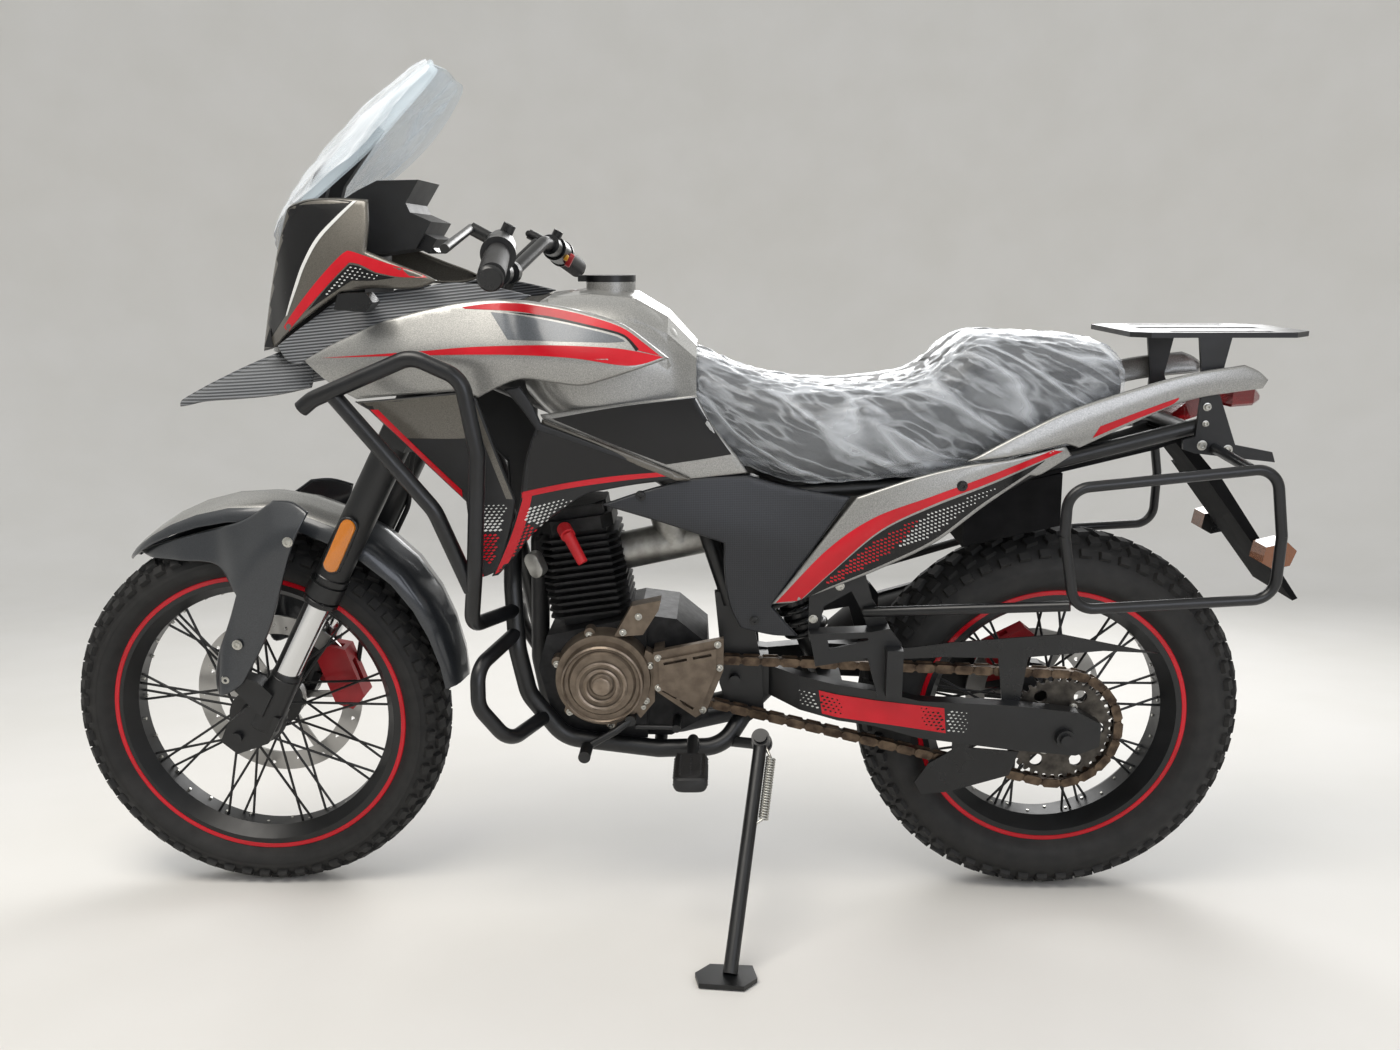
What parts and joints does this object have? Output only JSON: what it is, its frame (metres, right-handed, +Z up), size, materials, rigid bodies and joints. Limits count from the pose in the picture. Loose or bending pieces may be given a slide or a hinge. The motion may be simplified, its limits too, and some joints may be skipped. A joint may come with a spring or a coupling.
{
  "type": "dual sport motorcycle",
  "caption": "Touring dual sport motorcycle with high fender, windscreen, crash bars, wire wheels and rear racks, leaning on its side stand.",
  "frame": {"origin": "centre of the bounding box at ground level", "axes": "+X to the front of the motorcycle, +Z up, +Y to the rider's left, the side it leans to"},
  "size_m": [2.0799, 0.855, 1.3888],
  "materials": {
    "frame": "satin black",
    "rear_frame": "satin black",
    "crash_bars": "satin black",
    "swingarm": "satin black",
    "shock": "gloss black spring",
    "engine_case": "bronze grey casting",
    "generator_cover": "bronze grey casting",
    "clutch_cover": "bronze grey casting",
    "sprocket_cover": "matt black",
    "cylinder": "black painted fins",
    "carburettor": "cast",
    "exhaust": "heatproof black",
    "tank": "silver metallic",
    "cowls": "silver with red stripes",
    "lower_cowls": "textured black",
    "nose": "dark grey",
    "lamp_housing": "matt black",
    "headlight": "clear lens",
    "windscreen": "clear",
    "beak": "dark grey",
    "side_covers": "textured black",
    "tail": "silver with red stripes",
    "seat": "grained vinyl",
    "rear_rack": "satin black",
    "pannier_racks": "satin black",
    "plate_holder": "matt black",
    "chain": "bronze steel",
    "chain_guard": "matt black",
    "pegs": "satin black with rubber",
    "fork_upper": "satin black",
    "fork_lower": "hard chrome",
    "front_fender": "silver",
    "handlebar": "satin black",
    "controls_left": "black rubber and plastic",
    "controls_right": "black rubber and plastic",
    "front_tyre": "black rubber",
    "front_rim": "black with a red line",
    "front_hub": "black",
    "front_disc": "ground steel",
    "rear_tyre": "black rubber",
    "rear_rim": "black with a red line",
    "rear_hub": "black",
    "rear_disc": "ground steel",
    "rear_sprocket": "steel",
    "side_stand": "satin black",
    "rear_caliper": "red paint",
    "front_caliper": "red paint",
    "brake_hose": "black rubber",
    "tail_lamp": "dark red lens",
    "signals": "smoked lens",
    "fuel_cap": "anodised"
  },
  "bodies": {
    "chassis": {"frame": "frame", "rear_frame": "rear_frame", "crash_bars": "crash_bars", "swingarm": "swingarm", "shock": "shock", "engine_case": "engine_case", "generator_cover": "generator_cover", "clutch_cover": "clutch_cover", "sprocket_cover": "sprocket_cover", "cylinder": "cylinder", "carburettor": "carburettor", "exhaust": "exhaust", "tank": "tank", "cowls": "cowls", "lower_cowls": "lower_cowls", "nose": "nose", "lamp_housing": "lamp_housing", "headlight": "headlight", "windscreen": "windscreen", "beak": "beak", "side_covers": "side_covers", "tail": "tail", "seat": "seat", "rear_rack": "rear_rack", "pannier_racks": "pannier_racks", "plate_holder": "plate_holder", "chain": "chain", "chain_guard": "chain_guard", "pegs": "pegs", "rear_caliper": "rear_caliper", "tail_lamp": "tail_lamp", "signals": "signals"},
    "steering": {"fork_upper": "fork_upper", "fork_lower": "fork_lower", "front_fender": "front_fender", "handlebar": "handlebar", "controls_left": "controls_left", "controls_right": "controls_right", "front_caliper": "front_caliper", "brake_hose": "brake_hose"},
    "front_wheel": {"front_tyre": "front_tyre", "front_rim": "front_rim", "front_hub": "front_hub", "front_disc": "front_disc"},
    "rear_wheel": {"rear_tyre": "rear_tyre", "rear_rim": "rear_rim", "rear_hub": "rear_hub", "rear_disc": "rear_disc", "rear_sprocket": "rear_sprocket"},
    "side_stand": {"side_stand": "side_stand"},
    "fuel_cap": {"fuel_cap": "fuel_cap"}
  },
  "joints": [
    {"name": "steer", "type": "hinge", "parent": "chassis", "child": "steering", "pos_m": [0.38001, -0.04004, 0.82495], "axis": [-0.4726, 0.1381, 0.8704], "range_deg": [-35, 35]},
    {"name": "front_wheel_spin", "type": "hinge", "parent": "steering", "child": "front_wheel", "pos_m": [0.71402, -0.11977, 0.32272], "axis": [0.0006, 0.9877, -0.1564], "continuous": true},
    {"name": "rear_wheel_spin", "type": "hinge", "parent": "chassis", "child": "rear_wheel", "pos_m": [-0.65918, -0.11865, 0.32485], "axis": [0.0006, 0.9877, -0.1564], "continuous": true},
    {"name": "stand_fold", "type": "hinge", "parent": "chassis", "child": "side_stand", "pos_m": [-0.1591, 0.01963, 0.30477], "axis": [0.1261, 0.8044, 0.5806], "range_deg": [0, 97.3]},
    {"name": "fuel_cap_lift", "type": "hinge", "parent": "chassis", "child": "fuel_cap", "pos_m": [0.13116, -0.0032, 1.05665], "axis": [0.0006, 0.9877, -0.1564], "range_deg": [0, 95]}
  ]
}
